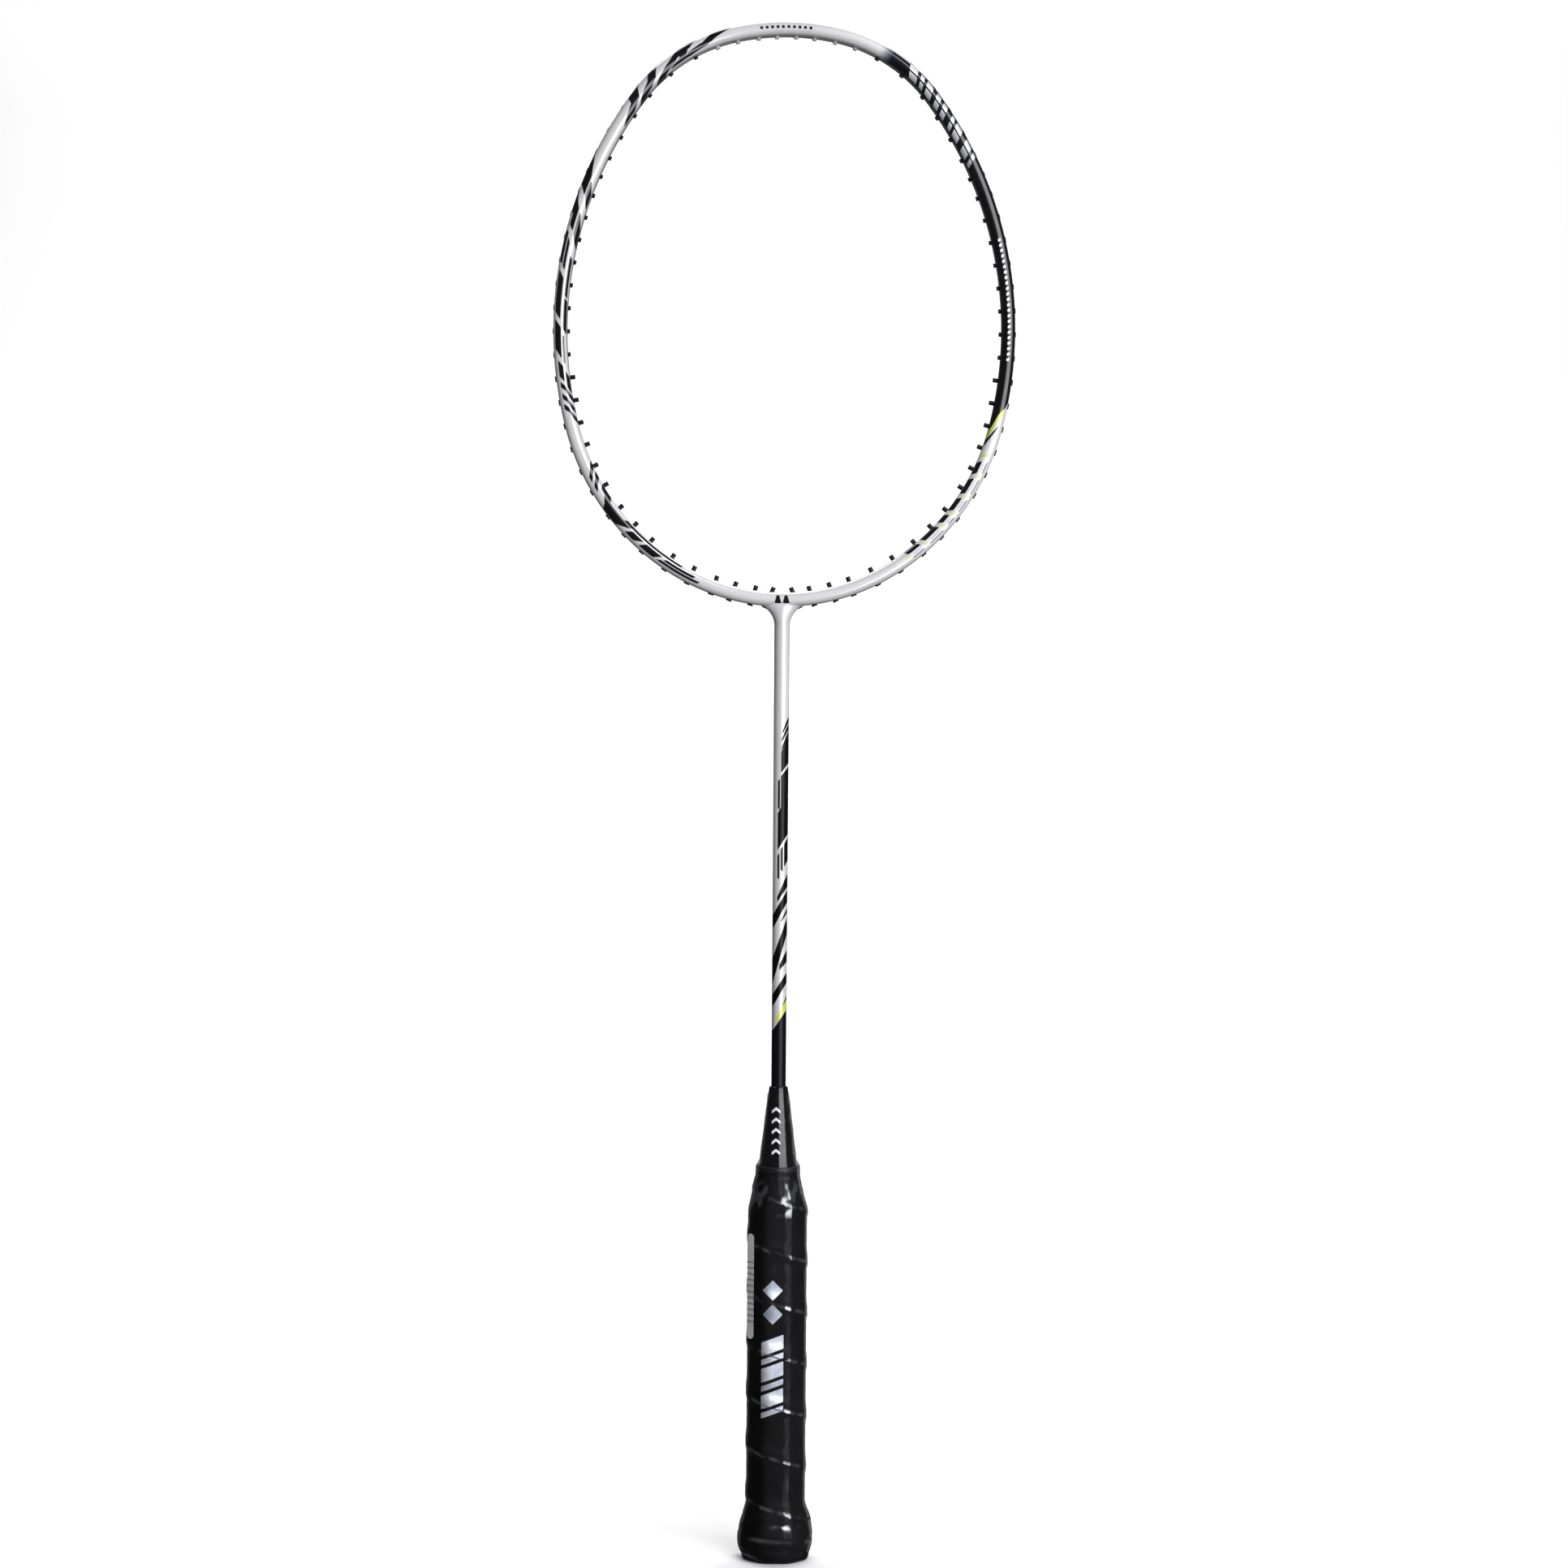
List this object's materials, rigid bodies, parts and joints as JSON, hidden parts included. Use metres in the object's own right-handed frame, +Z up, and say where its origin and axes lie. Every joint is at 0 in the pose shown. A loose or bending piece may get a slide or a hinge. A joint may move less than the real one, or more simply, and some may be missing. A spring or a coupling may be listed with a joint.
{
  "type": "badminton racket",
  "caption": "Unstrung badminton racket: rounded hollow head with string grommets, thin shaft, cone and wrapped octagonal grip with a flared butt.",
  "frame": {"origin": "centre of the butt cap's flat end", "axes": "+Z up the shaft to the top of the head; the head lies in the XZ plane and its front faces -Y"},
  "size_m": [0.2038, 0.0316, 0.675],
  "materials": {
    "frame_paint": "pearl lacquer over carbon fibre",
    "joint_metal": "satin",
    "cone_plastic": "gloss",
    "ring_rubber": "matte",
    "handle_wood": "raw",
    "wrap_leather": "soft synthetic leather",
    "film_clear": "clear film",
    "cap_plastic": "satin",
    "label_paper": "satin",
    "grommet_nylon": "satin"
  },
  "bodies": {
    "root": {"butt_cap": "cap_plastic", "cone_cap": "cone_plastic", "cone_film": "film_clear", "finishing_ring": "ring_rubber", "grip_film": "film_clear", "grip_label": "label_paper", "grip_wrap": "wrap_leather", "grommet_left_20": "grommet_nylon", "grommet_left_21": "grommet_nylon", "grommet_left_22": "grommet_nylon", "grommet_left_23": "grommet_nylon", "grommet_left_24": "grommet_nylon", "grommet_left_25": "grommet_nylon", "grommet_left_26": "grommet_nylon", "grommet_left_27": "grommet_nylon", "grommet_left_28": "grommet_nylon", "grommet_left_29": "grommet_nylon", "grommet_left_30": "grommet_nylon", "grommet_left_31": "grommet_nylon", "grommet_left_32": "grommet_nylon", "grommet_left_33": "grommet_nylon", "grommet_left_34": "grommet_nylon", "grommet_right_20": "grommet_nylon", "grommet_right_21": "grommet_nylon", "grommet_right_22": "grommet_nylon", "grommet_right_23": "grommet_nylon", "grommet_right_24": "grommet_nylon", "grommet_right_25": "grommet_nylon", "grommet_right_26": "grommet_nylon", "grommet_right_27": "grommet_nylon", "grommet_right_28": "grommet_nylon", "grommet_right_29": "grommet_nylon", "grommet_right_30": "grommet_nylon", "grommet_right_31": "grommet_nylon", "grommet_right_32": "grommet_nylon", "grommet_right_33": "grommet_nylon", "grommet_right_34": "grommet_nylon", "grommet_strip_left": "grommet_nylon", "grommet_strip_right": "grommet_nylon", "grommet_strip_top": "grommet_nylon", "handle_core": "handle_wood", "head_frame": "frame_paint", "shaft_tube": "frame_paint", "t_joint": "joint_metal"}
  },
  "joints": []
}
